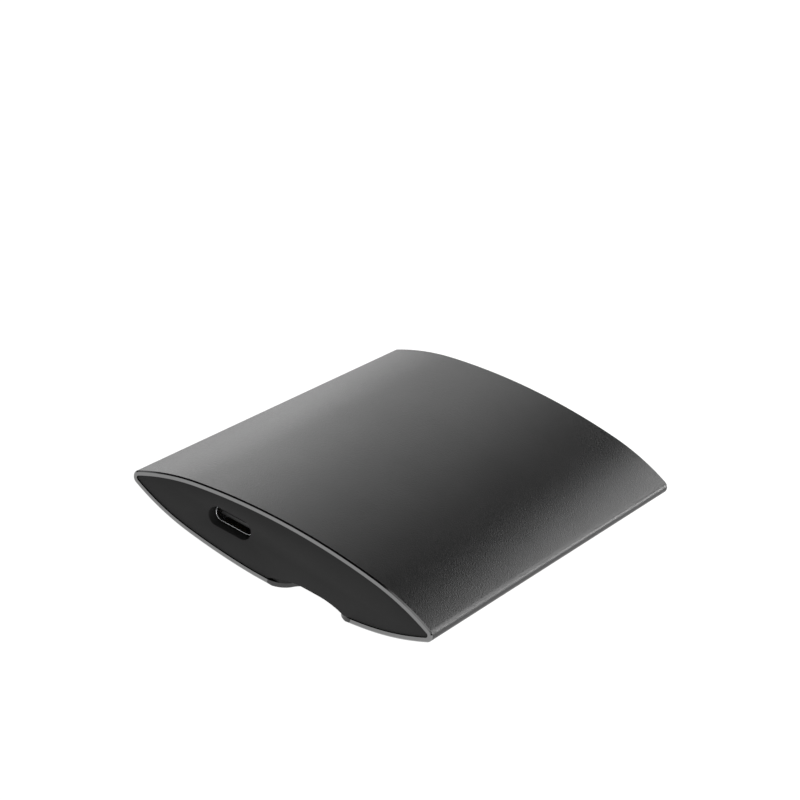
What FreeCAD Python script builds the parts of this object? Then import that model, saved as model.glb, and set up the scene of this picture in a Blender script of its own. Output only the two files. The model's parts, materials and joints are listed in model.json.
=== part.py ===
import FreeCAD
import Part
import Sketcher
import math
import os
import re
from types import SimpleNamespace

# External solid state drive: a lens-section aluminium sleeve, closed by two moulded end plates,
# around a tray with a bridge board, a USB-C receptacle and a flash module in an edge socket.
# X runs across the width, Y along the length with the port end at -Y, and Z up from the table.

SIZES = {
    # sleeve
    "drive_length": 85.0,
    "drive_width": 66.0,
    "drive_thickness": 13.25,
    "crown_radius": 128.0,
    "crown_width": 39.0,
    "tip_radius": 1.4,
    "rest_width": 8.0,
    "sleeve_wall": 0.9,
    "end_chamfer": 0.25,
    "slide_gap": 0.05,
    # finger notch in the sleeve's floor, and the arch above it in the front plate
    "notch_x": 8.0,
    "notch_width": 19.2,
    "notch_depth": 6.8,
    "notch_entry_radius": 4.5,
    "notch_lead": 0.05,
    "arch_height": 2.83,
    "arch_flat": 3.0,
    "arch_radius": 16.8,
    "arch_depth": 0.8,
    "scoop_wall": 1.0,
    # end plates
    "plate_recess": 0.2,
    "plate_thickness": 2.0,
    "spigot_depth": 3.0,
    "spigot_skin": 1.2,
    "spigot_opening": 44.0,
    # receptacle
    "port_x": -11.1,
    "port_rise": 0.705,
    "port_gap": 0.22,
    "mouth_depth": 1.6,
    "shell_width": 8.94,
    "shell_height": 3.16,
    "shell_length": 7.25,
    "shell_metal": 0.3,
    "leg_width": 1.1,
    "leg_gap": 0.15,
    "tongue_width": 6.7,
    "tongue_thickness": 0.7,
    "tongue_inset": 0.45,
    "tongue_base": 2.6,
    "contact_pitch": 0.5,
    "contact_width": 0.25,
    "contact_length": 3.6,
    "contact_metal": 0.06,
    # tray and bridge board
    "tray_width": 36.0,
    "tray_floor": 2.4,
    "tray_rail": 1.6,
    "tray_gap": 0.3,
    "boss_radius": 2.2,
    "board_width": 40.0,
    "board_length": 65.0,
    "board_thickness": 1.0,
    "board_gap": 0.9,
    "board_corner": 1.5,
    "hole_side": 4.5,
    "hole_front": 8.0,
    "hole_rear": 3.0,
    "screw_shank": 1.9,
    "screw_length": 3.0,
    "screw_head": 3.6,
    "screw_head_height": 1.2,
    "screw_slot": 0.5,
    "hole_gap": 0.15,
    # edge socket and flash module
    "socket_width": 21.9,
    "socket_depth": 8.0,
    "socket_height": 4.2,
    "socket_screw_gap": 0.6,
    "module_x": 5.5,
    "module_width": 22.0,
    "module_edge": 19.8,
    "module_thickness": 0.8,
    "module_lift": 2.65,
    "module_grip": 4.2,
    "module_fit": 0.1,
    "module_corner": 0.5,
    "key_offset": 6.1,
    "key_width": 1.2,
    "key_depth": 3.5,
    "chip_gap": 0.8,
    "end_margin": 1.8,
    "controller_side": 9.0,
    "flash_width": 13.5,
    "flash_length": 11.0,
    "chip_height": 1.2,
    "dimple_radius": 0.4,
    "dimple_depth": 0.1,
    "dimple_inset": 1.0,
    "standoff_radius": 2.2,
    "pad_width": 16.0,
    # small components
    "bridge_chip_side": 7.0,
    "small_chip_width": 4.0,
    "small_chip_length": 5.0,
    "small_chip_height": 0.8,
    "crystal_width": 2.5,
    "crystal_length": 3.2,
    "crystal_height": 0.7,
    "inductor_side": 4.0,
    "inductor_height": 1.8,
    "inductor_corner": 0.6,
    "capacitor_width": 1.6,
    "capacitor_length": 3.2,
    "capacitor_height": 1.5,
    "capacitor_pitch": 4.0,
    "component_gap": 1.2,
}
CONTACTS_A_SIDE = 12
BOARD_CAPACITORS = 6
MODULE_CAPACITORS = 3
MARGIN = 1.0
TINY = 1e-6

s = SimpleNamespace(**SIZES)
ALIAS = re.compile(r"\b(" + "|".join(SIZES) + r")\b")

# Levels and stations that several pieces share, as expressions on the sheet's cells
FACE = "(-drive_length / 2 + plate_recess)"
PLATE_IN = "(-drive_length / 2 + plate_recess + plate_thickness)"
LAND_RISE = "sqrt(crown_radius^2 - rest_width^2 / 4)"
MID = "((drive_thickness - crown_radius + " + LAND_RISE + ") / 2)"
PORT_Z = "(" + MID + " + port_rise)"
BOARD_TOP = "(" + PORT_Z + " - shell_height / 2)"
BOARD_LOW = "(" + BOARD_TOP + " - board_thickness)"
BOARD_FRONT = "(" + PLATE_IN + " + board_gap)"
BOARD_REAR = "(" + BOARD_FRONT + " + board_length)"
SHELL_FRONT = "(" + FACE + " + mouth_depth)"
SHELL_REAR = "(" + SHELL_FRONT + " + shell_length)"
SCOOP_REAR = "(-drive_length / 2 - notch_lead + notch_depth + scoop_wall)"
TRAY_FRONT = "(" + SCOOP_REAR + " + tray_gap)"
TRAY_REAR = "(drive_length / 2 - plate_recess - plate_thickness - spigot_depth - tray_gap)"
HOLE_X = "(board_width / 2 - hole_side)"
HOLE_FRONT_Y = "(" + BOARD_FRONT + " + hole_front)"
HOLE_REAR_Y = "(" + BOARD_REAR + " - hole_rear)"
SOCKET_FRONT = "(" + HOLE_FRONT_Y + " + screw_head / 2 + socket_screw_gap)"
SOCKET_REAR = "(" + SOCKET_FRONT + " + socket_depth)"
MODULE_FRONT = "(" + SOCKET_REAR + " - module_grip)"
MODULE_LOW = "(" + BOARD_TOP + " + module_lift)"
MODULE_TOP = "(" + MODULE_LOW + " + module_thickness)"
CONTROLLER_FRONT = "(" + SOCKET_REAR + " + chip_gap)"
FLASH_FRONT = "(" + CONTROLLER_FRONT + " + controller_side + chip_gap)"
FLASH_STEP = "(flash_length + chip_gap)"
MODULE_REAR = "(" + FLASH_FRONT + " + 2 * " + FLASH_STEP + " + screw_head / 2 + end_margin)"
CHIP_TOP = "(" + MODULE_TOP + " + chip_height)"
INNER = "(sleeve_wall + slide_gap)"

doc = FreeCAD.newDocument("external_drive")
sheet = doc.addObject("Spreadsheet::Sheet", "sizes")
for row, (alias, number) in enumerate(SIZES.items(), start=1):
    sheet.set("A%d" % row, alias)
    sheet.set("B%d" % row, str(number))
    sheet.setAlias("B%d" % row, alias)
doc.recompute()


def bind(item, path, text):
    """Ties one property of an object to an expression on the sheet's cells."""
    item.setExpression(path, ALIAS.sub(r"sizes.\1", text))


def place(item, x="0", y="0", z="0"):
    """Ties an object's position to three expressions."""
    for axis, text in zip("xyz", (x, y, z)):
        bind(item, "Placement.Base." + axis, text)
    return item


def box(name, x, y, z, across, along, high):
    """A box between its low corner and its three edge lengths."""
    item = doc.addObject("Part::Box", name)
    for path, text in zip(("Length", "Width", "Height"), (across, along, high)):
        bind(item, path, text)
    return place(item, x, y, z)


def centred(name, x, y, z, across, along, high):
    """A box centred over a point of its underside."""
    return box(name, "%s - (%s) / 2" % (x, across), "%s - (%s) / 2" % (y, along), z, across, along, high)


def cylinder(name, x, y, z, radius, high):
    """An upright cylinder over a point."""
    item = doc.addObject("Part::Cylinder", name)
    bind(item, "Radius", radius)
    bind(item, "Height", high)
    return place(item, x, y, z)


def gather(kind, name, items):
    """Several shapes joined, or what they share, as one object."""
    item = doc.addObject(kind, name)
    item.Shapes = items
    return item


def fuse(name, *items):
    return gather("Part::MultiFuse", name, list(items))


def common(name, *items):
    return gather("Part::MultiCommon", name, list(items))


def cut(name, base, *tools):
    """A shape with the tools' shapes taken out of it."""
    item = doc.addObject("Part::Cut", name)
    item.Base = base
    item.Tool = tools[0] if len(tools) == 1 else fuse(name + "_tools", *tools)
    return item


def group(name, items):
    """Separate solids that share one node."""
    item = doc.addObject("Part::Compound", name)
    item.Links = items
    return item


def soften(kind, name, base, amount, wanted):
    """A fillet or chamfer of one size on the edges that a test picks."""
    doc.recompute()
    item = doc.addObject(kind, name)
    item.Base = base
    item.Edges = [(i, amount, amount) for i, edge in enumerate(base.Shape.Edges, start=1) if wanted(edge)]
    return item


def upright(edge):
    """True for a straight edge along Z."""
    ends = [v.Point for v in edge.Vertexes]
    return len(ends) == 2 and abs(ends[0].x - ends[1].x) + abs(ends[0].y - ends[1].y) < TINY


def extrude(name, sketch, direction, length, both_ways=False):
    """A solid prism on a sketch."""
    item = doc.addObject("Part::Extrusion", name)
    item.Base = sketch
    item.DirMode = "Custom"
    item.Dir = direction
    item.Solid = True
    item.Symmetric = both_ways
    bind(item, "LengthFwd", length)
    return item


def body_sketch(body, name, role):
    """A sketch on one of a body's own origin planes."""
    sketch = body.newObject("Sketcher::SketchObject", name)
    plane = [f for f in body.Origin.OriginFeatures if f.Role == role][0]
    sketch.AttachmentSupport = [(plane, "")]
    sketch.MapMode = "FlatFace"
    return sketch


def free_sketch(name, upright_plane):
    """A sketch on the XZ plane or the XY plane, outside any body."""
    sketch = doc.addObject("Sketcher::SketchObject", name)
    if upright_plane:
        sketch.Placement.Rotation = FreeCAD.Rotation(FreeCAD.Vector(1, 0, 0), 90)
    return sketch


def arc(centre, radius, start, end):
    """An arc of a sketch, counter-clockwise between two angles."""
    circle = Part.Circle(FreeCAD.Vector(centre[0], centre[1], 0), FreeCAD.Vector(0, 0, 1), radius)
    return Part.ArcOfCircle(circle, start, end)


def line(start, end):
    return Part.LineSegment(FreeCAD.Vector(*start, 0), FreeCAD.Vector(*end, 0))


def size_of(sketch, name, text, *constraint):
    """A dimension of a sketch, named and tied to the sheet."""
    index = sketch.addConstraint(Sketcher.Constraint(*constraint))
    sketch.renameConstraint(index, name)
    bind(sketch, "Constraints." + name, text)


def lens(sketch, inset, inset_text):
    """The sleeve's section, inset all round: crown, flank and tip arcs above and below, and a flat below.

    The flank arc has the one radius that makes it tangent to both the crown and the tip.
    """
    crown = s.crown_radius
    low_centre = math.sqrt(crown ** 2 - s.rest_width ** 2 / 4)
    middle = (s.drive_thickness - crown + low_centre) / 2
    top_centre = s.drive_thickness - crown
    lean = math.asin(s.crown_width / 2 / crown)
    tip_x = s.drive_width / 2 - s.tip_radius
    reach_x = s.crown_width / 2 - tip_x
    reach_z = top_centre + crown * math.cos(lean) - middle
    along = reach_x * math.sin(lean) + reach_z * math.cos(lean)
    flank = (reach_x ** 2 + reach_z ** 2 - s.tip_radius ** 2) / (2 * (along - s.tip_radius))
    flank_x = s.crown_width / 2 - flank * math.sin(lean)
    flank_z = reach_z - flank * math.cos(lean)
    turn = math.atan2(-flank_z, tip_x - flank_x)
    quarter = math.pi / 2
    rest_half = math.sqrt((crown - inset) ** 2 - (low_centre - inset) ** 2)
    rest_angle = math.asin(rest_half / (crown - inset))
    arcs = [line((-rest_half, inset), (rest_half, inset)),
            arc((0, low_centre), crown - inset, rest_angle - quarter, lean - quarter),
            arc((flank_x, middle - flank_z), flank - inset, lean - quarter, -turn),
            arc((tip_x, middle), s.tip_radius - inset, -turn, turn),
            arc((flank_x, middle + flank_z), flank - inset, turn, quarter - lean),
            arc((0, top_centre), crown - inset, quarter - lean, quarter + lean),
            arc((-flank_x, middle + flank_z), flank - inset, quarter + lean, math.pi - turn),
            arc((-tip_x, middle), s.tip_radius - inset, math.pi - turn, math.pi + turn),
            arc((-flank_x, middle - flank_z), flank - inset, math.pi + turn, 3 * quarter - lean),
            arc((0, low_centre), crown - inset, 3 * quarter - lean, 3 * quarter - rest_angle)]
    sketch.addGeometry(arcs, False)
    for i in range(len(arcs)):
        after = (i + 1) % len(arcs)
        kind = "Coincident" if 0 in (i, after) else "Tangent"
        sketch.addConstraint(Sketcher.Constraint(kind, i, 2, after, 1))
    size_of(sketch, "crown", "crown_radius - " + inset_text, "Radius", 5, crown - inset)
    size_of(sketch, "tip", "tip_radius - " + inset_text, "Radius", 3, s.tip_radius - inset)
    return sketch


def bell(sketch, grow, grow_text):
    """The notch in plan: two rounds that open it at the sleeve's end, and one round that closes it."""
    half = s.notch_width / 2
    front = -s.drive_length / 2 - s.notch_lead
    turn = 2 * math.atan(s.notch_depth / half)
    end_radius = half / math.sin(turn) - s.notch_entry_radius
    entry = s.notch_entry_radius - grow
    quarter = math.pi / 2
    rounds = [arc((s.notch_x - half, front + s.notch_entry_radius), entry, -quarter, turn - quarter),
              arc((s.notch_x, front + s.notch_depth - end_radius), end_radius + grow,
                  quarter - turn, quarter + turn),
              arc((s.notch_x + half, front + s.notch_entry_radius), entry, -quarter - turn, -quarter),
              line((s.notch_x + half, front + grow), (s.notch_x - half, front + grow))]
    sketch.addGeometry(rounds, False)
    for joint in ((0, 2, 1, 2), (1, 1, 2, 1), (2, 2, 3, 1), (3, 2, 0, 1)):
        sketch.addConstraint(Sketcher.Constraint("Coincident", *joint))
    sketch.addConstraint(Sketcher.Constraint("Equal", 0, 2))
    size_of(sketch, "entry", "notch_entry_radius - " + grow_text, "Radius", 0, entry)
    return sketch


def arch(sketch, grow, grow_text):
    """The arch of the front plate over the notch: a flat crown and a round down to each side."""
    flat = s.arch_flat / 2
    radius = s.arch_radius + grow
    top = s.arch_height + grow
    drop = math.acos(1 - (top + MARGIN) / radius)
    foot = flat + radius * math.sin(drop)
    quarter = math.pi / 2
    runs = [line((s.notch_x - foot, -MARGIN), (s.notch_x + foot, -MARGIN)),
            arc((s.notch_x + flat, top - radius), radius, quarter - drop, quarter),
            line((s.notch_x + flat, top), (s.notch_x - flat, top)),
            arc((s.notch_x - flat, top - radius), radius, quarter, quarter + drop)]
    sketch.addGeometry(runs, False)
    for i in range(len(runs)):
        kind = "Coincident" if i in (0, 3) else "Tangent"
        sketch.addConstraint(Sketcher.Constraint(kind, i, 2, (i + 1) % len(runs), 1))
    sketch.addConstraint(Sketcher.Constraint("Equal", 1, 3))
    size_of(sketch, "shoulder", "arch_radius + " + grow_text, "Radius", 1, radius)
    size_of(sketch, "flat", "arch_flat", "Distance", 2, s.arch_flat)
    return sketch


def stadium(sketch, gap, gap_text):
    """A slot outline with round ends about the sketch's origin: the shell's outside, grown by a gap."""
    half_flat = (s.shell_width - s.shell_height) / 2
    radius = s.shell_height / 2 + gap
    quarter = math.pi / 2
    runs = [line((-half_flat, -radius), (half_flat, -radius)),
            arc((half_flat, 0), radius, -quarter, quarter),
            line((half_flat, radius), (-half_flat, radius)),
            arc((-half_flat, 0), radius, quarter, 3 * quarter)]
    first = sketch.GeometryCount
    sketch.addGeometry(runs, False)
    for i in range(len(runs)):
        sketch.addConstraint(Sketcher.Constraint("Tangent", first + i, 2, first + (i + 1) % len(runs), 1))
    size_of(sketch, "end_%d" % first, "shell_height / 2 + " + gap_text, "Radius", first + 1, radius)
    size_of(sketch, "flat_%d" % first, "shell_width - shell_height", "Distance", first, 2 * half_flat)
    return sketch


def make_sleeve():
    """The extruded sleeve: section, chamfered ends, hollow, and the finger notch through its floor."""
    body = doc.addObject("PartDesign::Body", "sleeve")
    pad = body.newObject("PartDesign::Pad", "sleeve_bar")
    pad.Profile = lens(body_sketch(body, "sleeve_section", "XZ_Plane"), 0.0, "0")
    pad.SideType = "Symmetric"
    bind(pad, "Length", "drive_length")
    doc.recompute()
    ends = ["Face%d" % i for i, face in enumerate(pad.Shape.Faces, start=1)
            if face.BoundBox.YLength < TINY]
    chamfer = body.newObject("PartDesign::Chamfer", "sleeve_ends")
    chamfer.Base = (pad, ends)
    bind(chamfer, "Size", "end_chamfer")
    hollow = body.newObject("PartDesign::Pocket", "sleeve_hollow")
    hollow.Profile = lens(body_sketch(body, "sleeve_inside", "XZ_Plane"), s.sleeve_wall, "sleeve_wall")
    hollow.SideType = "Symmetric"
    bind(hollow, "Length", "drive_length + 2 * %g" % MARGIN)
    notch = body.newObject("PartDesign::Pocket", "sleeve_notch")
    notch.Profile = bell(body_sketch(body, "notch_outline", "XY_Plane"), 0.0, "0")
    notch.Reversed = True
    bind(notch, "Length", MID)
    doc.recompute()
    return body


def plate_blank(name, low, sign):
    """An end plate with its spigot: a slab that fills the sleeve, and ribs behind it around an opening."""
    depth = "(plate_thickness + spigot_depth)"
    section = lens(free_sketch(name + "_section", True), s.sleeve_wall + s.slide_gap, INNER)
    place(section, y=low)
    slab = extrude(name + "_slab", section, FreeCAD.Vector(0, sign, 0), depth)
    start = "%s + plate_thickness" % low if sign > 0 else "%s - %s - %g" % (low, depth, MARGIN)
    high = "(drive_thickness - 2 * spigot_skin - 2 * %s)" % INNER
    opening = box(name + "_opening", "-spigot_opening / 2", start, "spigot_skin + " + INNER,
                  "spigot_opening", "spigot_depth + %g" % MARGIN, high)
    return cut(name, slab, opening)


def inner_prism(name):
    """The space inside the sleeve, less the sliding gap."""
    section = lens(free_sketch(name + "_section", True), s.sleeve_wall + s.slide_gap, INNER)
    return extrude(name, section, FreeCAD.Vector(0, 1, 0), "drive_length", both_ways=True)


def make_front_plate(room):
    """The port end's plate: arch and scoop over the notch, and the opening for the receptacle."""
    blank = plate_blank("front_blank", FACE, 1)
    high = "arch_height + scoop_wall + %g" % MARGIN
    outer_bell = bell(free_sketch("scoop_outline", False), s.scoop_wall, "scoop_wall")
    outer_plan = extrude("scoop_plan", outer_bell, FreeCAD.Vector(0, 0, 1), high)
    outer_arch = arch(free_sketch("scoop_arch", True), s.scoop_wall, "scoop_wall")
    outer_roof = extrude("scoop_roof", outer_arch, FreeCAD.Vector(0, 1, 0), "drive_length", both_ways=True)
    housing = common("scoop_housing", outer_plan, outer_roof, room)
    outline = place(bell(free_sketch("finger_outline", False), 0.0, "0"), z="-%g" % MARGIN)
    plan = extrude("finger_plan", outline, FreeCAD.Vector(0, 0, 1), high)
    roof = extrude("finger_roof", arch(free_sketch("finger_arch", True), 0.0, "0"),
                   FreeCAD.Vector(0, 1, 0), "drive_length", both_ways=True)
    finger = common("finger_room", plan, roof)
    section = arch(free_sketch("plate_arch_section", True), 0.0, "0")
    place(section, y="-drive_length / 2 - %g" % MARGIN)
    mouth = extrude("plate_arch", section, FreeCAD.Vector(0, 1, 0), "%g + arch_depth" % MARGIN)
    slot = stadium(free_sketch("port_outline", True), s.port_gap, "port_gap")
    place(slot, "port_x", "-drive_length / 2 - %g" % MARGIN, PORT_Z)
    port = extrude("port_opening", slot, FreeCAD.Vector(0, 1, 0),
                   "plate_recess + plate_thickness + 2 * %g" % MARGIN)
    return cut("front_plate", fuse("front_plate_whole", blank, housing), finger, mouth, port)


def make_rear_plate():
    """The plain plate at the far end."""
    return plate_blank("rear_plate", "(drive_length / 2 - plate_recess)", -1)


def make_tray(room):
    """The moulded carrier: a floor that follows the sleeve, two rails and four screw bosses."""
    length = "%s - %s" % (TRAY_REAR, TRAY_FRONT)
    floor = box("tray_floor_block", "-tray_width / 2", TRAY_FRONT, "0", "tray_width", length, "tray_floor")
    parts = [floor]
    for side, name in ((-1, "left"), (1, "right")):
        edge = "-tray_width / 2" if side < 0 else "tray_width / 2 - tray_rail"
        parts.append(box("tray_rail_" + name, edge, TRAY_FRONT, "0", "tray_rail", length, BOARD_LOW))
    holes = []
    for name, x, y in hole_places():
        parts.append(cylinder("boss_" + name, x, y, "0", "boss_radius", BOARD_LOW))
        depth = "(screw_length - board_thickness + hole_gap)"
        holes.append(cylinder("pilot_" + name, x, y, "%s - %s" % (BOARD_LOW, depth),
                              "screw_shank / 2 + slide_gap", depth + " + %g" % MARGIN))
    return cut("tray", common("tray_shape", fuse("tray_blocks", *parts), room), *holes)


def hole_places():
    """The board's four screw places, as names and expressions."""
    return [(end + "_" + side, sign + HOLE_X, y)
            for end, y in (("front", HOLE_FRONT_Y), ("rear", HOLE_REAR_Y))
            for side, sign in (("left", "-"), ("right", ""))]


def leg_places():
    """The receptacle's four legs: the sign of each side, and the leg's station along the shell."""
    front = "(%s + board_gap + leg_width)" % BOARD_FRONT
    rear = "(%s - leg_width)" % SHELL_REAR
    return [("leg_%d%d" % (row, side), side * 2 - 1, y)
            for row, y in enumerate((front, rear)) for side in (0, 1)]


def leg(name, sign, y, gap, low, high):
    """A flat leg of the shell, or with a gap the slot that it passes through."""
    outer = "(shell_width / 2 + %s)" % gap
    x = "port_x + shell_width / 2 - shell_metal - %s" % gap if sign > 0 else "port_x - " + outer
    return box(name, x, "%s - leg_width / 2 - %s" % (y, gap), low, "shell_metal + 2 * %s" % gap,
               "leg_width + 2 * %s" % gap, "(%s) - (%s)" % (high, low))


def make_bridge_board():
    """The bridge board, with rounded corners, screw holes and slots for the receptacle's legs."""
    blank = box("board_blank", "-board_width / 2", BOARD_FRONT, BOARD_LOW,
                "board_width", "board_length", "board_thickness")
    board = soften("Part::Fillet", "board_round", blank, s.board_corner, upright)
    holes = [cylinder("board_hole_" + name, x, y, BOARD_LOW + " - %g" % MARGIN,
                      "screw_shank / 2 + hole_gap", "board_thickness + 2 * %g" % MARGIN)
             for name, x, y in hole_places()]
    low = BOARD_LOW + " - %g" % MARGIN
    high = BOARD_TOP + " + %g" % MARGIN
    slots = [leg("board_" + name, sign, y, "leg_gap", low, high) for name, sign, y in leg_places()]
    return cut("bridge_board", board, *holes, *slots)


def make_receptacle():
    """The USB-C receptacle: a steel shell on four legs, a moulded tongue, and two rows of contacts."""
    ring = stadium(free_sketch("shell_section", True), 0.0, "0")
    stadium(ring, -s.shell_metal, "-shell_metal")
    place(ring, "port_x", SHELL_FRONT, PORT_Z)
    tube = extrude("shell_tube", ring, FreeCAD.Vector(0, 1, 0), "shell_length")
    legs = [leg("shell_" + name, sign, y, "0", BOARD_LOW, PORT_Z) for name, sign, y in leg_places()]
    shell = fuse("usb_c_shell", tube, *legs)
    plug = stadium(free_sketch("tongue_section", True), -s.shell_metal, "-shell_metal")
    place(plug, "port_x", SHELL_REAR + " - tongue_base", PORT_Z)
    base = extrude("tongue_base_block", plug, FreeCAD.Vector(0, 1, 0), "tongue_base")
    reach = "shell_length - tongue_base - tongue_inset"
    blade = centred("tongue_blade", "port_x", SHELL_REAR + " - tongue_base - (%s) / 2" % reach,
                    PORT_Z + " - tongue_thickness / 2", "tongue_width", reach, "tongue_thickness")
    tongue = fuse("usb_c_tongue", base, blade)
    contacts = []
    middle = SHELL_REAR + " - tongue_base - contact_length / 2"
    for row, level in (("upper", PORT_Z + " + tongue_thickness / 2"),
                       ("lower", PORT_Z + " - tongue_thickness / 2 - contact_metal")):
        for i in range(CONTACTS_A_SIDE):
            x = "port_x + contact_pitch * %g" % (i - (CONTACTS_A_SIDE - 1) / 2)
            contacts.append(centred("contact_%s_%d" % (row, i), x, middle, level,
                                    "contact_width", "contact_length", "contact_metal"))
    return [shell, tongue, group("usb_c_contacts", contacts)]


def screw(name, x, y, under_head):
    """A slotted pan screw: head above the given level, plain shank below it."""
    tip = under_head + " - screw_length"
    shank = cylinder(name + "_shank", x, y, tip, "screw_shank / 2", "screw_length")
    head = cylinder(name + "_head", x, y, under_head, "screw_head / 2", "screw_head_height")
    slot = centred(name + "_slot", x, y, under_head + " + screw_head_height - screw_slot",
                   "screw_head + %g" % MARGIN, "screw_slot", "screw_slot + %g" % MARGIN)
    return cut(name, fuse(name + "_whole", shank, head), slot)


def make_socket():
    """The edge socket: a block with a slot for the module's edge, and the key for the edge's notch."""
    block = box("socket_block", "module_x - socket_width / 2", SOCKET_FRONT, BOARD_TOP,
                "socket_width", "socket_depth", "socket_height")
    slot = box("socket_slot", "module_x - module_edge / 2 - module_fit", MODULE_FRONT + " - module_fit",
               MODULE_LOW + " - module_fit", "module_edge + 2 * module_fit", "module_grip + %g" % MARGIN,
               "module_thickness + 2 * module_fit")
    key = box("socket_key", "module_x + key_offset - key_width / 2 + module_fit",
              MODULE_FRONT + " - module_fit", MODULE_LOW + " - module_fit",
              "key_width - 2 * module_fit", "key_depth", "module_thickness + 2 * module_fit")
    return fuse("edge_socket", cut("socket_open", block, slot), key)


def make_module_board():
    """The flash module's board: a narrower edge with its key notch, and a half hole at the screw end."""
    blank = box("module_blank", "module_x - module_width / 2", MODULE_FRONT, MODULE_LOW,
                "module_width", "%s - %s" % (MODULE_REAR, MODULE_FRONT), "module_thickness")
    rounded = soften("Part::Fillet", "module_round", blank, s.module_corner, upright)
    shoulder = "((module_width - module_edge) / 2 + %g)" % MARGIN
    step = "module_grip + module_fit + %g" % MARGIN
    ahead = MODULE_FRONT + " - %g" % MARGIN
    below = MODULE_LOW + " - %g" % MARGIN
    through = "module_thickness + 2 * %g" % MARGIN
    left = "module_x - module_width / 2 - %g" % MARGIN
    cuts = [box("module_step_left", left, ahead, below, shoulder, step, through),
            box("module_step_right", "module_x + module_edge / 2", ahead, below, shoulder, step, through),
            box("module_key", "module_x + key_offset - key_width / 2", ahead, below,
                "key_width", "key_depth + %g" % MARGIN, through),
            cylinder("module_half_hole", "module_x", MODULE_REAR, below,
                     "screw_shank / 2 + hole_gap", through)]
    return cut("module_board", rounded, *cuts)


def make_standoff():
    """The turned brass post that carries the module's end, bored for its screw."""
    post = cylinder("standoff_post", "module_x", MODULE_REAR, BOARD_TOP, "standoff_radius", "module_lift")
    bore = cylinder("standoff_bore", "module_x", MODULE_REAR, BOARD_TOP + " - %g" % MARGIN,
                    "screw_shank / 2 + slide_gap", "module_lift + 2 * %g" % MARGIN)
    return cut("standoff", post, bore)


def chip(name, x, y, z, across, along, high):
    """A moulded package with the dimple that marks its first corner."""
    block = centred(name + "_block", x, y, z, across, along, high)
    dimple = cylinder(name + "_dimple", "%s - (%s) / 2 + dimple_inset" % (x, across),
                      "%s - (%s) / 2 + dimple_inset" % (y, along),
                      "%s + %s - dimple_depth" % (z, high), "dimple_radius", "dimple_depth + %g" % MARGIN)
    return cut(name, block, dimple)


def make_module_parts():
    """What the flash module carries: controller, two flash packages, power chip and capacitors."""
    side_x = "(controller_side / 2 + chip_gap + small_chip_width / 2)"
    middle = "(%s + controller_side / 2)" % CONTROLLER_FRONT
    parts = [chip("flash_controller", "module_x", middle, MODULE_TOP,
                  "controller_side", "controller_side", "chip_height"),
             chip("module_power_chip", "module_x - " + side_x, middle, MODULE_TOP,
                  "small_chip_width", "small_chip_length", "small_chip_height")]
    for i in range(2):
        y = "%s + flash_length / 2 + %d * %s" % (FLASH_FRONT, i, FLASH_STEP)
        parts.append(chip("flash_chip_%d" % (i + 1), "module_x", y, MODULE_TOP,
                          "flash_width", "flash_length", "chip_height"))
    for i in range(MODULE_CAPACITORS):
        y = "%s + capacitor_width / 2 + %d * (capacitor_width + chip_gap)" % (CONTROLLER_FRONT, i)
        parts.append(centred("module_capacitor_%d" % (i + 1), "module_x + " + side_x, y, MODULE_TOP,
                             "capacitor_length", "capacitor_width", "chip_height"))
    return parts


def make_board_parts():
    """What the bridge board carries beside the module: two chips, a crystal and the power parts."""
    clear = "(%s + screw_head / 2 + component_gap)" % HOLE_FRONT_Y
    lane = "((module_x - module_width / 2 - board_width / 2) / 2)"
    bridge_y = "(%s + bridge_chip_side / 2)" % clear
    crystal_y = "(%s + bridge_chip_side / 2 + component_gap + crystal_length / 2)" % bridge_y
    firmware_y = "(%s + crystal_length / 2 + component_gap + small_chip_length / 2)" % crystal_y
    parts = [chip("bridge_chip", lane, bridge_y, BOARD_TOP,
                  "bridge_chip_side", "bridge_chip_side", "chip_height"),
             centred("crystal", lane, crystal_y, BOARD_TOP,
                     "crystal_width", "crystal_length", "crystal_height"),
             chip("firmware_chip", lane, firmware_y, BOARD_TOP,
                  "small_chip_width", "small_chip_length", "small_chip_height")]
    first = "(%s + small_chip_length / 2 + component_gap + inductor_side / 2)" % firmware_y
    for i in range(2):
        y = "%s + %d * (inductor_side + component_gap)" % (first, i)
        block = centred("inductor_block_%d" % (i + 1), lane, y, BOARD_TOP,
                        "inductor_side", "inductor_side", "inductor_height")
        name = "power_inductor_%d" % (i + 1)
        parts.append(soften("Part::Chamfer", name, block, s.inductor_corner, upright))
    row = "(%s + 2 * (inductor_side + component_gap))" % first
    for i in range(BOARD_CAPACITORS):
        x = "%s + capacitor_pitch * %g" % (lane, i % 2 - 0.5)
        y = "%s + %d * (capacitor_width + component_gap)" % (row, i // 2)
        parts.append(centred("capacitor_%d" % (i + 1), x, y, BOARD_TOP,
                             "capacitor_length", "capacitor_width", "capacitor_height"))
    return parts


def make_thermal_pad(room):
    """The soft pad between the module's chips and the sleeve's roof, whose curve it takes."""
    length = "%s + 2 * %s - %s" % (FLASH_FRONT, FLASH_STEP, CONTROLLER_FRONT)
    block = box("pad_block", "module_x - pad_width / 2", CONTROLLER_FRONT, CHIP_TOP,
                "pad_width", length, "drive_thickness")
    return common("thermal_pad", block, room)


room = inner_prism("sleeve_room")
nodes = [make_sleeve(), make_front_plate(room), make_rear_plate(), make_tray(room), make_bridge_board()]
nodes += make_receptacle()
nodes += [make_socket(), make_module_board(), make_standoff()]
nodes += make_module_parts()
nodes += make_board_parts()
nodes.append(make_thermal_pad(room))
nodes.append(screw("module_screw", "module_x", MODULE_REAR, MODULE_TOP))
board_screws = [screw("board_screw_" + name, x, y, BOARD_TOP) for name, x, y in hole_places()]
nodes.append(group("board_screws", board_screws))
doc.recompute()

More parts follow.
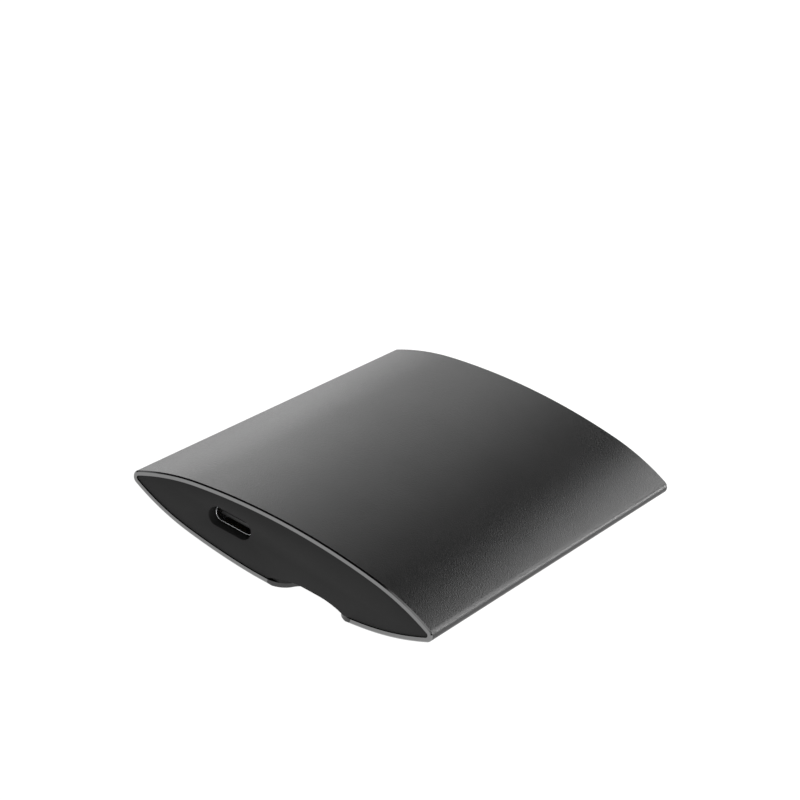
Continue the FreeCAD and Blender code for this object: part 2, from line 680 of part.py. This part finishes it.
for item in doc.Objects:
    if "Invalid" in item.State or "Error" in item.State:
        raise RuntimeError("%s did not build" % item.Name)
os.makedirs("parts", exist_ok=True)
for node in nodes:
    node.Label = node.Name
    if node.Shape.isNull() or not node.Shape.isValid():
        raise RuntimeError("%s has no sound shape" % node.Label)
for node in nodes:
    node.Shape.exportStep("parts/%s.step" % node.Label)
    print(node.Label, len(node.Shape.Solids), "solids", round(node.Shape.Volume, 2), "mm3")
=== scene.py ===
import json
import math

import bmesh
import bpy
from mathutils import Matrix, Vector


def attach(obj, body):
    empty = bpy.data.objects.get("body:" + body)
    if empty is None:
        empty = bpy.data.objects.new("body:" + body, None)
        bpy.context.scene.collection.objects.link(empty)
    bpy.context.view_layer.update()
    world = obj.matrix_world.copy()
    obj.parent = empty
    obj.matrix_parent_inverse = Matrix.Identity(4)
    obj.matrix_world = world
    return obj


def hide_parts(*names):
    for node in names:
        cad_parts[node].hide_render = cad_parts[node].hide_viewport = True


# The looks of an external solid state drive: a blasted, anodised sleeve with bright-cut ends, two dark end
# plates, a finger scoop under the front one and a USB-C receptacle behind it.
# Pieces are modelled in millimetres in the frame of the solids, and scaled to metres when they are finished.

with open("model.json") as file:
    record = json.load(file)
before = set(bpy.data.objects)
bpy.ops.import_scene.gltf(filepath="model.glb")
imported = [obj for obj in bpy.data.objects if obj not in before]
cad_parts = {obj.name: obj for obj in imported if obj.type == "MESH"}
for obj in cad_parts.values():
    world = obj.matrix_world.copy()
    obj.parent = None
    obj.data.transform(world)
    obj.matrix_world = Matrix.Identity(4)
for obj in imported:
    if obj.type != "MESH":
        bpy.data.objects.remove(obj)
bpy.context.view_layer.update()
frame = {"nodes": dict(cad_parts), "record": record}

MM = 0.001
ALONG = Vector((0, 1, 0))
UP = Vector((0, 0, 1))

# A length that counts as none, and how much of a normal lies along an axis on a square or a slanted face
TINY = 1e-4
SQUARE = 0.999
SLANTED = 0.4

# Angles in degrees: faces that count as one flat, and the bend up to which a surface is shaded smooth
FLAT_ANGLE = 0.05
SMOOTH_ANGLE = 28

# How far a cutting solid stands past what it cuts
PAST = 1.0

# Edges along each arc
CROWN_STEPS = 20
FLANK_STEPS = 16
TIP_STEPS = 14
NOTCH_STEPS = 18
ARCH_STEPS = 18
SLOT_STEPS = 20

# Sleeve
LENGTH = 85.0
WIDTH = 66.0
THICKNESS = 13.25
CROWN_RADIUS = 128.0
CROWN_WIDTH = 39.0
TIP_RADIUS = 1.4
REST_WIDTH = 8.0
WALL = 0.9
END_CHAMFER = 0.25
FRONT = -LENGTH / 2
LOW_CENTRE = math.sqrt(CROWN_RADIUS ** 2 - REST_WIDTH ** 2 / 4)
MIDDLE = (THICKNESS - CROWN_RADIUS + LOW_CENTRE) / 2

# Finger notch in the sleeve, and the arch over it in the front plate
NOTCH_X = 8.0
NOTCH_HALF = 9.6
NOTCH_DEPTH = 6.8
NOTCH_ENTRY = 4.5
NOTCH_LEAD = 0.05
ARCH_HEIGHT = 2.83
ARCH_FLAT = 3.0
ARCH_RADIUS = 16.8
ARCH_DEPTH = 0.8
SCOOP_WALL = 1.0

# End plates
PLATE_GAP = 0.05
PLATE_INSET = WALL + PLATE_GAP
PLATE_RECESS = 0.2
PLATE_THICKNESS = 2.0
PLATE_BREAK = 0.1
SPIGOT_DEPTH = 3.0
SPIGOT_SKIN = 1.2
SPIGOT_OPENING = 44.0

# Receptacle
PORT_X = -11.1
PORT_Z = MIDDLE + 0.705
PORT_GAP = 0.22
PORT_DEPTH = 1.6
SHELL_WIDTH = 8.94
SHELL_HEIGHT = 3.16
SHELL_LENGTH = 7.25
SHELL_METAL = 0.3
SHELL_FRONT = FRONT + PLATE_RECESS + PORT_DEPTH
SHELL_REAR = SHELL_FRONT + SHELL_LENGTH
LIP_ROUND = 0.12
LEG_WIDTH = 1.1
LEG_SETBACK = 1.8
BOARD_THICKNESS = 1.0
BOARD_LOW = PORT_Z - SHELL_HEIGHT / 2 - BOARD_THICKNESS
TONGUE_WIDTH = 6.7
TONGUE_THICKNESS = 0.7
TONGUE_INSET = 0.45
TONGUE_BASE = 2.6
TONGUE_ROUND = 0.12
CONTACTS_A_SIDE = 12
CONTACT_PITCH = 0.5
CONTACT_WIDTH = 0.25
CONTACT_LENGTH = 3.6
CONTACT_METAL = 0.06
CONTACT_BREAK = 0.02

# Camera, as fitted to the sleeve's outline: angles in degrees, the eye in millimetres
CAMERA_AZIMUTH = 28.18
CAMERA_ELEVATION = 26.396
CAMERA_ROLL = -13.36
CAMERA_EYE = Vector((198.8, -382.8, 236.82))
FOCAL_PIXELS = 2608
IMAGE_PIXELS = 800
SENSOR_WIDTH = 36.0
CLIP_START = 0.01

# Studio
TABLE_HALF = 3000.0
ROOM_LIGHT = 0.005

# Noise: its detail, the values that it mostly keeps between, and how strongly a relief shows
NOISE_DETAIL = 2.0
NOISE_LOW = 0.3
NOISE_HIGH = 0.7
RELIEF_STRENGTH = 0.5


# Materials

def linear(hex_colour):
    """An sRGB hex colour as linear values with full alpha."""
    parts = [int(hex_colour[i:i + 2], 16) / 255 for i in (1, 3, 5)]
    return [c / 12.92 if c <= 0.04045 else ((c + 0.055) / 1.055) ** 2.4 for c in parts] + [1.0]


def node(tree, kind, inputs=None, **settings):
    """Adds a node with its settings. An input that is given a socket is linked to it, any other is set."""
    made = tree.nodes.new(kind)
    for name, value in settings.items():
        setattr(made, name, value)
    for name, value in (inputs or {}).items():
        if isinstance(value, bpy.types.NodeSocket):
            tree.links.new(value, made.inputs[name])
        else:
            made.inputs[name].default_value = value
    return made


def surface(name, **sockets):
    """A material with its shader's even values set."""
    material = bpy.data.materials.new(name)
    material.use_nodes = True
    shader = material.node_tree.nodes["Principled BSDF"]
    for socket, value in sockets.items():
        shader.inputs[socket.replace("_", " ")].default_value = value
    return material


def mottle(tree, place, size_mm, low, high):
    """A noise whose patches measure about size_mm, stretched between two numbers or two colours."""
    noise = node(tree, "ShaderNodeTexNoise", {"Vector": place, "Scale": 1 / (size_mm * MM),
                                              "Detail": NOISE_DETAIL})
    if isinstance(low, str):
        ramp = node(tree, "ShaderNodeValToRGB", {"Fac": noise.outputs["Fac"]})
        for element, position, colour in zip(ramp.color_ramp.elements, (NOISE_LOW, NOISE_HIGH), (low, high)):
            element.position = position
            element.color = linear(colour)
        return ramp.outputs["Color"]
    stretch = node(tree, "ShaderNodeMapRange", {"Value": noise.outputs["Fac"], "From Min": NOISE_LOW,
                                                "From Max": NOISE_HIGH, "To Min": low, "To Max": high})
    return stretch.outputs["Result"]


def relief(tree, place, size_mm, depth_mm):
    """A bump from a noise with pits of one size."""
    height = mottle(tree, place, size_mm, 0.0, 1.0)
    bump = node(tree, "ShaderNodeBump", {"Height": height, "Strength": RELIEF_STRENGTH,
                                         "Distance": depth_mm * MM})
    return bump.outputs["Normal"]


def grained(name, low, high, patch_mm, grain_mm, depth_mm, rough, **sockets):
    """A material with slightly mottled colour, slightly uneven roughness and a fine relief."""
    material = surface(name, **sockets)
    tree = material.node_tree
    shader = tree.nodes["Principled BSDF"]
    place = node(tree, "ShaderNodeTexCoord").outputs["Object"]
    tree.links.new(mottle(tree, place, patch_mm, low, high), shader.inputs["Base Color"])
    tree.links.new(mottle(tree, place, grain_mm * 2, *rough), shader.inputs["Roughness"])
    tree.links.new(relief(tree, place, grain_mm, depth_mm), shader.inputs["Normal"])
    return material


# Bead-blasted aluminium, anodised dark grey: satin, with a fine even sparkle. The beads leave pits of about
# 0.1 mm, drawn about three times as coarse so that they show.
blasted = grained("anodised_aluminium_blasted", "#474747", "#4a4a4a", patch_mm=14.0, grain_mm=0.27,
                  depth_mm=0.035, rough=(0.36, 0.39), Metallic=1.0, Specular_Tint=linear("#e7e7e7"))

# The same metal where the sleeve was sawn and faced: paler and smoother, with only a trace of grain.
faced = grained("anodised_aluminium_faced", "#7c7c7c", "#808080", patch_mm=9.0, grain_mm=0.25,
                depth_mm=0.001, rough=(0.28, 0.34), Metallic=1.0)

# The notch's wall: the same anodised metal, given a darker grey than the faced ends.
notch_wall_metal = grained("anodised_aluminium_notch_wall", "#484848", "#4c4c4c", patch_mm=9.0, grain_mm=0.25,
                 depth_mm=0.002, rough=(0.30, 0.36), Metallic=1.0)

# The thin chamfer round each end, cut last with a diamond tool: nearly a mirror, with no relief.
polished = grained("anodised_aluminium_polished", "#808080", "#848484", patch_mm=9.0, grain_mm=0.25,
                   depth_mm=0.0, rough=(0.10, 0.12), Metallic=1.0)

# Glass-filled plastic of the end plates, spark-textured in the mould: dull, even and dark grey.
moulded = grained("moulded_plastic_dark", "#292929", "#2b2b2b", patch_mm=11.0, grain_mm=0.22,
                  depth_mm=0.001, rough=(0.58, 0.62), Specular_IOR_Level=0.1)

# Drawn stainless steel of the receptacle: bright, with a slightly uneven gloss.
steel = grained("drawn_stainless_steel", "#b9babc", "#c6c7c9", patch_mm=3.0, grain_mm=0.20,
                depth_mm=0.003, rough=(0.18, 0.26), Metallic=1.0)

# Gold flash over nickel on the contacts: dark gold and glossy.
gold = grained("gold_flash", "#80642f", "#8b6d35", patch_mm=1.0, grain_mm=0.10,
               depth_mm=0.001, rough=(0.18, 0.26), Metallic=1.0)

# Black glass-filled nylon of the receptacle's tongue and the edge socket: black with a half gloss.
nylon = grained("black_nylon", "#151515", "#191919", patch_mm=4.0, grain_mm=0.15,
                depth_mm=0.003, rough=(0.42, 0.52))

# Plain moulded plastic of the tray inside: dull and nearly black.
tray_plastic = grained("tray_plastic", "#17181a", "#1c1d20", patch_mm=10.0, grain_mm=0.25,
                       depth_mm=0.010, rough=(0.50, 0.60))

# Green solder mask over glass laminate: glossy, with a faint unevenness.
solder_mask = grained("solder_mask", "#0c3a24", "#11472c", patch_mm=5.0, grain_mm=0.40,
                      depth_mm=0.006, rough=(0.22, 0.32))

# Moulded epoxy of the chips: dull black with a fine grain.
chip_epoxy = grained("chip_epoxy", "#161616", "#1c1c1c", patch_mm=3.0, grain_mm=0.12,
                     depth_mm=0.006, rough=(0.48, 0.58))

# Nickel-plated screws: pale grey and glossy.
screw_steel = grained("nickel_plated_steel", "#a3a4a8", "#b1b2b6", patch_mm=2.0, grain_mm=0.15,
                      depth_mm=0.003, rough=(0.22, 0.30), Metallic=1.0)

# Turned brass of the standoff: yellow and glossy.
brass = grained("turned_brass", "#b8923f", "#c49e4a", patch_mm=2.0, grain_mm=0.12,
                depth_mm=0.003, rough=(0.22, 0.30), Metallic=1.0)

# Pressed ferrite of the inductors: grey, granular and dull.
ferrite = grained("pressed_ferrite", "#2b2c2e", "#3a3b3d", patch_mm=0.8, grain_mm=0.10,
                  depth_mm=0.010, rough=(0.62, 0.75))

# Fired ceramic of the capacitors: warm tan.
ceramic = grained("capacitor_ceramic", "#8a6d4c", "#9a7b57", patch_mm=1.0, grain_mm=0.10,
                  depth_mm=0.003, rough=(0.32, 0.42))

# Filled silicone of the thermal pad: blue-grey, soft and dull.
silicone = grained("thermal_silicone", "#66788c", "#728599", patch_mm=2.0, grain_mm=0.30,
                   depth_mm=0.015, rough=(0.70, 0.80))

FINISH_OF_SLOT = {
    "tray_plastic": tray_plastic,
    "solder_mask": solder_mask,
    "steel": steel,
    "screw_steel": screw_steel,
    "black_nylon": nylon,
    "brass": brass,
    "chip_epoxy": chip_epoxy,
    "ferrite": ferrite,
    "capacitor_ceramic": ceramic,
    "thermal_silicone": silicone,
}


# Modelling helpers

def verts_of(geometry):
    """The vertices in what an operator gave back."""
    return [item for item in geometry if isinstance(item, bmesh.types.BMVert)]


def sweep(bm, vert, centre, axis, angle, steps):
    """Grows an arc of edges from a vertex round a centre, and gives the arc's last vertex."""
    grown = bmesh.ops.spin(bm, geom=[vert], cent=centre, axis=axis, angle=angle, steps=steps)
    return verts_of(grown["geom_last"])[0]


def straight(bm, vert, offset):
    """Grows one edge from a vertex, and gives its far end."""
    grown = bmesh.ops.extrude_vert_indiv(bm, verts=[vert])
    bmesh.ops.translate(bm, verts=grown["verts"], vec=offset)
    return grown["verts"][0]


def reflect(bm, axis, level):
    """Mirrors all that a bmesh holds across the plane at one level of an axis, and joins it there."""
    shift = Matrix.Translation([-level if name == axis else 0 for name in "XYZ"])
    bmesh.ops.mirror(bm, geom=bm.verts[:] + bm.edges[:], matrix=shift, merge_dist=TINY, axis=axis)
    bmesh.ops.remove_doubles(bm, verts=bm.verts, dist=TINY)


def lens_loop(inset, y):
    """The sleeve's section, inset all round: crown, flank and tip arcs, and the flat that it rests on."""
    bm = bmesh.new()
    lean = math.asin(CROWN_WIDTH / 2 / CROWN_RADIUS)
    tip_x = WIDTH / 2 - TIP_RADIUS
    reach_x = CROWN_WIDTH / 2 - tip_x
    reach_z = THICKNESS - CROWN_RADIUS + CROWN_RADIUS * math.cos(lean) - MIDDLE
    along = reach_x * math.sin(lean) + reach_z * math.cos(lean)
    flank = (reach_x ** 2 + reach_z ** 2 - TIP_RADIUS ** 2) / (2 * (along - TIP_RADIUS))
    flank_x = CROWN_WIDTH / 2 - flank * math.sin(lean)
    flank_z = reach_z - flank * math.cos(lean)
    turn = math.atan2(-flank_z, tip_x - flank_x)
    vert = bm.verts.new((0, y, THICKNESS - inset))
    vert = sweep(bm, vert, (0, y, THICKNESS - CROWN_RADIUS), ALONG, lean, CROWN_STEPS)
    vert = sweep(bm, vert, (flank_x, y, MIDDLE + flank_z), ALONG, math.pi / 2 - turn - lean, FLANK_STEPS)
    sweep(bm, vert, (tip_x, y, MIDDLE), ALONG, turn, TIP_STEPS)
    reflect(bm, "X", 0)
    reflect(bm, "Z", MIDDLE)
    bmesh.ops.bisect_plane(bm, geom=bm.verts[:] + bm.edges[:], plane_co=(0, 0, inset), plane_no=UP,
                           clear_inner=True, dist=TINY)
    bm.edges.new([vert for vert in bm.verts if len(vert.link_edges) == 1])
    return bm


def bell_loop(grow, z):
    """The notch in plan: two rounds that open it at the sleeve's end, and the round that closes it."""
    bm = bmesh.new()
    front = FRONT - NOTCH_LEAD
    turn = 2 * math.atan(NOTCH_DEPTH / NOTCH_HALF)
    end_radius = NOTCH_HALF / math.sin(turn) - NOTCH_ENTRY
    vert = bm.verts.new((NOTCH_X, front + grow, z))
    vert = straight(bm, vert, (-NOTCH_HALF, 0, 0))
    vert = sweep(bm, vert, (NOTCH_X - NOTCH_HALF, front + NOTCH_ENTRY, z), UP, turn, NOTCH_STEPS)
    sweep(bm, vert, (NOTCH_X, front + NOTCH_DEPTH - end_radius, z), UP, -turn, NOTCH_STEPS)
    reflect(bm, "X", NOTCH_X)
    return bm


def arch_loop(grow, y):
    """The front plate's arch over the notch, from below the sleeve up to its flat crown."""
    bm = bmesh.new()
    radius = ARCH_RADIUS + grow
    drop = math.acos(1 - (ARCH_HEIGHT + grow + PAST) / radius)
    vert = bm.verts.new((NOTCH_X, y, ARCH_HEIGHT + grow))
    vert = straight(bm, vert, (ARCH_FLAT / 2, 0, 0))
    centre = (NOTCH_X + ARCH_FLAT / 2, y, ARCH_HEIGHT + grow - radius)
    vert = sweep(bm, vert, centre, ALONG, drop, ARCH_STEPS)
    straight(bm, vert, (NOTCH_X - vert.co.x, 0, 0))
    reflect(bm, "X", NOTCH_X)
    return bm


def slot_loop(grow, y):
    """The outline of the receptacle's shell, grown all round."""
    bm = bmesh.new()
    half_flat = (SHELL_WIDTH - SHELL_HEIGHT) / 2
    radius = SHELL_HEIGHT / 2 + grow
    vert = bm.verts.new((PORT_X, y, PORT_Z + radius))
    vert = straight(bm, vert, (half_flat, 0, 0))
    vert = sweep(bm, vert, (PORT_X + half_flat, y, PORT_Z), ALONG, math.pi, SLOT_STEPS)
    straight(bm, vert, (-half_flat, 0, 0))
    reflect(bm, "X", PORT_X)
    return bm


def prism(bm, offset):
    """Fills a loop and extrudes it to a closed solid."""
    bmesh.ops.contextual_create(bm, geom=bm.edges[:])
    grown = bmesh.ops.extrude_face_region(bm, geom=bm.faces[:], use_keep_orig=True)
    bmesh.ops.translate(bm, verts=verts_of(grown["geom"]), vec=offset)
    bmesh.ops.recalc_face_normals(bm, faces=bm.faces)
    return bm


def tube(outer, inner, length):
    """Joins an outer and an inner loop by a rim, and extrudes the rim to a closed tube."""
    spare = bpy.data.meshes.new("spare")
    inner.to_mesh(spare)
    inner.free()
    outer.from_mesh(spare)
    bpy.data.meshes.remove(spare)
    bmesh.ops.bridge_loops(outer, edges=outer.edges[:])
    grown = bmesh.ops.extrude_face_region(outer, geom=outer.faces[:], use_keep_orig=True)
    bmesh.ops.translate(outer, verts=verts_of(grown["geom"]), vec=ALONG * length)
    bmesh.ops.recalc_face_normals(outer, faces=outer.faces)
    return outer


def block(bm, low, high):
    """Adds a box between two corners to a bmesh."""
    low = Vector(low)
    high = Vector(high)
    made = bmesh.ops.create_cube(bm, size=1.0)
    bmesh.ops.scale(bm, verts=made["verts"], vec=high - low)
    bmesh.ops.translate(bm, verts=made["verts"], vec=(low + high) / 2)


def soften(bm, edges, amount, segments=2):
    """Rounds or, with one segment, chamfers some edges."""
    bmesh.ops.bevel(bm, geom=edges, offset=amount, offset_type="OFFSET", affect="EDGES", segments=segments,
                    profile=0.5, material=-1, clamp_overlap=True)


def to_object(bm, name):
    """Turns a bmesh in millimetres into an object in the scene."""
    mesh = bpy.data.meshes.new(name)
    bm.to_mesh(mesh)
    bm.free()
    made = bpy.data.objects.new(name, mesh)
    bpy.context.scene.collection.objects.link(made)
    return made


def carve(body, operation, *tools):
    """Cuts tools out of a body, joins them to it or keeps what they share, and deletes the tools."""
    for bm in tools:
        tool = to_object(bm, "tool")
        modifier = body.modifiers.new("carve", "BOOLEAN")
        modifier.operation = operation
        modifier.solver = "EXACT"
        modifier.object = tool
        graph = bpy.context.evaluated_depsgraph_get()
        carved = bpy.data.meshes.new_from_object(body.evaluated_get(graph))
        body.modifiers.clear()
        body.data = carved
        bpy.data.objects.remove(tool)
    return body


def common(first, second):
    """What two solids share."""
    made = carve(to_object(first, "shared"), "INTERSECT", second)
    bm = bmesh.new()
    bm.from_mesh(made.data)
    bpy.data.objects.remove(made)
    return bm


def finish_piece(piece, body_node, materials):
    """Scales a piece to metres, shades it smooth up to an angle, and ties it to the frame."""
    piece.data.transform(Matrix.Scale(MM, 4))
    piece.data.shade_smooth()
    piece.data.set_sharp_from_angle(angle=math.radians(SMOOTH_ANGLE))
    for material in materials:
        piece.data.materials.append(material)
    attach(piece, "root")
    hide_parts(body_node)


# Sleeve

def is_outer_corner(edge):
    """Whether an edge of the sleeve lies between an end face and the outer skin."""
    outwards = edge.verts[0].co - UP * MIDDLE
    ends = [face for face in edge.link_faces if abs(face.normal.y) > SQUARE]
    skins = [face for face in edge.link_faces if abs(face.normal.y) < TINY and face.normal.dot(outwards) > 0]
    return len(ends) == 1 and len(skins) == 1


def make_sleeve():
    """The extruded sleeve: chamfered ends, the finger notch, and paler faced metal on its cut edges."""
    bm = tube(lens_loop(0, FRONT), lens_loop(WALL, FRONT), LENGTH)
    soften(bm, [edge for edge in bm.edges if is_outer_corner(edge)], END_CHAMFER, segments=1)
    sleeve = to_object(bm, "sleeve_blasted")
    carve(sleeve, "DIFFERENCE", prism(bell_loop(0, -PAST), UP * (MIDDLE + PAST)))
    finishes = [blasted, faced, polished, notch_wall_metal]
    bm = bmesh.new()
    bm.from_mesh(sleeve.data)
    bmesh.ops.dissolve_degenerate(bm, dist=TINY, edges=bm.edges)
    for face in bm.faces:
        middle = face.calc_center_median()
        in_notch = abs(face.normal.z) < TINY and abs(middle.x - NOTCH_X) < NOTCH_HALF
        at_end = abs(middle.y) > LENGTH / 2 - END_CHAMFER
        if abs(face.normal.y) > SQUARE:
            face.material_index = finishes.index(faced)
        elif in_notch:
            face.material_index = finishes.index(notch_wall_metal)
        elif at_end and abs(face.normal.y) > SLANTED:
            face.material_index = finishes.index(polished)
    bm.to_mesh(sleeve.data)
    bm.free()
    finish_piece(sleeve, "sleeve", finishes)


# End plates

def make_plate(name, low):
    """An end plate with its spigot, still solid."""
    bm = prism(lens_loop(PLATE_INSET, low), ALONG * (PLATE_THICKNESS + SPIGOT_DEPTH))
    return to_object(bm, name)


def hollow_of(low):
    """The opening inside a plate's spigot."""
    bm = bmesh.new()
    skin = PLATE_INSET + SPIGOT_SKIN
    half = SPIGOT_OPENING / 2
    block(bm, (-half, low, skin), (half, low + SPIGOT_DEPTH + PAST, THICKNESS - skin))
    return bm


def outer_rim(bm, y, way):
    """The edges round a plate's outer face, which lies at y and looks along Y one way or the other."""
    outer = {face for face in bm.faces
             if face.normal.y * way > SQUARE and abs(face.calc_center_median().y - y) < TINY}
    return [edge for edge in bm.edges if sum(face in outer for face in edge.link_faces) == 1]


def make_front_plate():
    """The port end's plate, with the arch and scoop over the notch and the opening for the receptacle."""
    low = FRONT + PLATE_RECESS
    before = FRONT - PAST
    plate = make_plate("front_plate_moulded", low)
    carve(plate, "DIFFERENCE", hollow_of(low + PLATE_THICKNESS))
    housing = common(prism(bell_loop(SCOOP_WALL, 0), UP * (ARCH_HEIGHT + SCOOP_WALL + PAST)),
                     prism(arch_loop(SCOOP_WALL, before), ALONG * (LENGTH / 2)))
    housing = common(housing, prism(lens_loop(PLATE_INSET, low), ALONG * (LENGTH / 2)))
    carve(plate, "UNION", housing)
    finger = common(prism(bell_loop(0, -PAST), UP * (ARCH_HEIGHT + 2 * PAST)),
                    prism(arch_loop(0, before), ALONG * (LENGTH / 2)))
    mouth = prism(arch_loop(0, before), ALONG * (PAST + ARCH_DEPTH))
    port = prism(slot_loop(PORT_GAP, before), ALONG * (PLATE_RECESS + PLATE_THICKNESS + 2 * PAST))
    carve(plate, "DIFFERENCE", finger, mouth, port)
    bm = bmesh.new()
    bm.from_mesh(plate.data)
    bmesh.ops.dissolve_limit(bm, angle_limit=math.radians(FLAT_ANGLE), verts=bm.verts, edges=bm.edges)
    soften(bm, outer_rim(bm, low, -1), PLATE_BREAK)
    bm.to_mesh(plate.data)
    bm.free()
    finish_piece(plate, "front_plate", [moulded])


def make_rear_plate():
    """The plain plate at the far end."""
    high = -FRONT - PLATE_RECESS
    low = high - PLATE_THICKNESS - SPIGOT_DEPTH
    plate = make_plate("rear_plate_moulded", low)
    carve(plate, "DIFFERENCE", hollow_of(low - PAST))
    bm = bmesh.new()
    bm.from_mesh(plate.data)
    soften(bm, outer_rim(bm, high, 1), PLATE_BREAK)
    bm.to_mesh(plate.data)
    bm.free()
    finish_piece(plate, "rear_plate", [moulded])


# Receptacle

def make_shell():
    """The receptacle's drawn steel shell, with a rolled lip and four legs."""
    bm = tube(slot_loop(0, SHELL_FRONT), slot_loop(-SHELL_METAL, SHELL_FRONT), SHELL_LENGTH)
    lip = [edge for edge in bm.edges if all(abs(vert.co.y - SHELL_FRONT) < TINY for vert in edge.verts)
           and any(abs(face.normal.y) < TINY for face in edge.link_faces)]
    soften(bm, lip, LIP_ROUND, segments=3)
    front_leg = FRONT + PLATE_RECESS + PLATE_THICKNESS + LEG_SETBACK + LEG_WIDTH
    rear_leg = SHELL_REAR - LEG_WIDTH
    for side in (-1, 1):
        outside = PORT_X + side * SHELL_WIDTH / 2
        inside = PORT_X + side * (SHELL_WIDTH / 2 - SHELL_METAL)
        left = min(outside, inside)
        right = max(outside, inside)
        for y in (front_leg, rear_leg):
            block(bm, (left, y - LEG_WIDTH / 2, BOARD_LOW), (right, y + LEG_WIDTH / 2, PORT_Z))
    finish_piece(to_object(bm, "usb_c_shell_drawn"), "usb_c_shell", [steel])


def make_tongue():
    """The receptacle's moulded base, and the tongue on it with eased edges."""
    bm = prism(slot_loop(-SHELL_METAL, SHELL_REAR - TONGUE_BASE), ALONG * TONGUE_BASE)
    low = (PORT_X - TONGUE_WIDTH / 2, SHELL_FRONT + TONGUE_INSET, PORT_Z - TONGUE_THICKNESS / 2)
    high = (PORT_X + TONGUE_WIDTH / 2, SHELL_REAR - TONGUE_BASE, PORT_Z + TONGUE_THICKNESS / 2)
    block(bm, low, high)
    free = [edge for edge in bm.edges if min(vert.co.y for vert in edge.verts) < low[1] + TINY]
    soften(bm, free, TONGUE_ROUND)
    finish_piece(to_object(bm, "usb_c_tongue_moulded"), "usb_c_tongue", [nylon])


def make_contacts():
    """Two rows of gold contacts on the tongue, with their front ends eased."""
    bm = bmesh.new()
    rear = SHELL_REAR - TONGUE_BASE
    for i in range(CONTACTS_A_SIDE):
        x = PORT_X + CONTACT_PITCH * (i - (CONTACTS_A_SIDE - 1) / 2)
        for low in (PORT_Z + TONGUE_THICKNESS / 2, PORT_Z - TONGUE_THICKNESS / 2 - CONTACT_METAL):
            block(bm, (x - CONTACT_WIDTH / 2, rear - CONTACT_LENGTH, low),
                  (x + CONTACT_WIDTH / 2, rear, low + CONTACT_METAL))
    ends = [edge for edge in bm.edges if max(vert.co.y for vert in edge.verts) < rear - TINY]
    soften(bm, ends, CONTACT_BREAK, segments=1)
    finish_piece(to_object(bm, "usb_c_contacts_gold"), "usb_c_contacts", [gold])


make_sleeve()
make_front_plate()
make_rear_plate()
make_shell()
make_tongue()
make_contacts()

slot_of_node = {row["node"]: row["material_slot"] for row in frame["record"]["subparts"]}
for name, part in frame["nodes"].items():
    if slot_of_node[name] in FINISH_OF_SLOT:
        part.data.materials.clear()
        part.data.materials.append(FINISH_OF_SLOT[slot_of_node[name]])


# Camera

def aim_camera():
    """The photo's view: turned, raised and slightly rolled."""
    azimuth = math.radians(CAMERA_AZIMUTH)
    elevation = math.radians(CAMERA_ELEVATION)
    roll = math.radians(CAMERA_ROLL)
    forward = Vector((-math.sin(azimuth) * math.cos(elevation), math.cos(azimuth) * math.cos(elevation),
                      -math.sin(elevation)))
    level = forward.cross(UP).normalized()
    right = math.cos(roll) * level + math.sin(roll) * forward.cross(level)
    facing = Matrix((right, right.cross(forward), -forward)).transposed().to_4x4()
    lens = bpy.data.cameras.new("camera")
    lens.sensor_width = SENSOR_WIDTH
    lens.lens = FOCAL_PIXELS / IMAGE_PIXELS * SENSOR_WIDTH
    lens.clip_start = CLIP_START
    camera = bpy.data.objects.new("camera", lens)
    camera.matrix_world = Matrix.Translation(CAMERA_EYE * MM) @ facing
    bpy.context.scene.collection.objects.link(camera)
    bpy.context.scene.camera = camera


aim_camera()


# Floor and light

def make_table():
    """A plain white light table, so that the drive stands on clean white."""
    bm = bmesh.new()
    bmesh.ops.create_grid(bm, x_segments=1, y_segments=1, size=TABLE_HALF)
    table = to_object(bm, "table")
    table.data.transform(Matrix.Scale(MM, 4))
    table.data.materials.append(surface("table_white", Base_Color=linear("#606060"), Roughness=0.9,
                                        Specular_IOR_Level=0.0, Emission_Color=linear("#ffffff"),
                                        Emission_Strength=1.0))


def make_room():
    """A nearly dark room around the lights."""
    world = bpy.data.worlds.new("studio")
    world.use_nodes = True
    background = world.node_tree.nodes["Background"]
    background.inputs["Color"].default_value = linear("#ffffff")
    background.inputs["Strength"].default_value = ROOM_LIGHT
    bpy.context.scene.world = world


def soft_box(name, azimuth, elevation, distance, width, height, radiance):
    """A soft rectangular light that faces the drive, in millimetres. The azimuth turns from +Y towards +X."""
    turn = math.radians(azimuth)
    lift = math.radians(elevation)
    away = Vector((math.sin(turn) * math.cos(lift), math.cos(turn) * math.cos(lift), math.sin(lift)))
    side = Vector((math.cos(turn), -math.sin(turn), 0))
    facing = Matrix((side, away.cross(side), away)).transposed().to_4x4()
    lamp = bpy.data.lights.new(name, "AREA")
    lamp.shape = "RECTANGLE"
    lamp.size = width * MM
    lamp.size_y = height * MM
    lamp.energy = radiance * math.pi * lamp.size * lamp.size_y
    box = bpy.data.objects.new(name, lamp)
    box.matrix_world = Matrix.Translation((away * distance + UP * MIDDLE) * MM) @ facing
    box.visible_camera = False
    bpy.context.scene.collection.objects.link(box)


make_table()
make_room()

# Azimuth, elevation, distance, width, height and radiance of each light. The keys give the sheen that fades
# over the crown from the left, the strips light the right flank and its tip, and the fills light the front
# plate and the sides that the photo does not show.
soft_box("key_left", -59.5, 14.6, 447, 343, 290, 3.2)
soft_box("key_behind", -29, 17.3, 1120, 320, 752, 1.58)
soft_box("strip_right", 50.3, 30, 250, 540, 99, 4.0)
soft_box("overhead", 0, 86, 700, 600, 600, 0.5)
soft_box("strip_low", 32, 4, 1000, 300, 135, 20.5)
soft_box("fill_front", 165, 3.5, 700, 900, 80, 8.6)
soft_box("fill_high", 161, 52, 700, 200, 200, 0.26)
soft_box("fill_left", -92, 34, 700, 440, 350, 0.4)
soft_box("fill_right", 137, 38, 700, 900, 640, 0.45)
bpy.context.scene.view_settings.view_transform = "Standard"
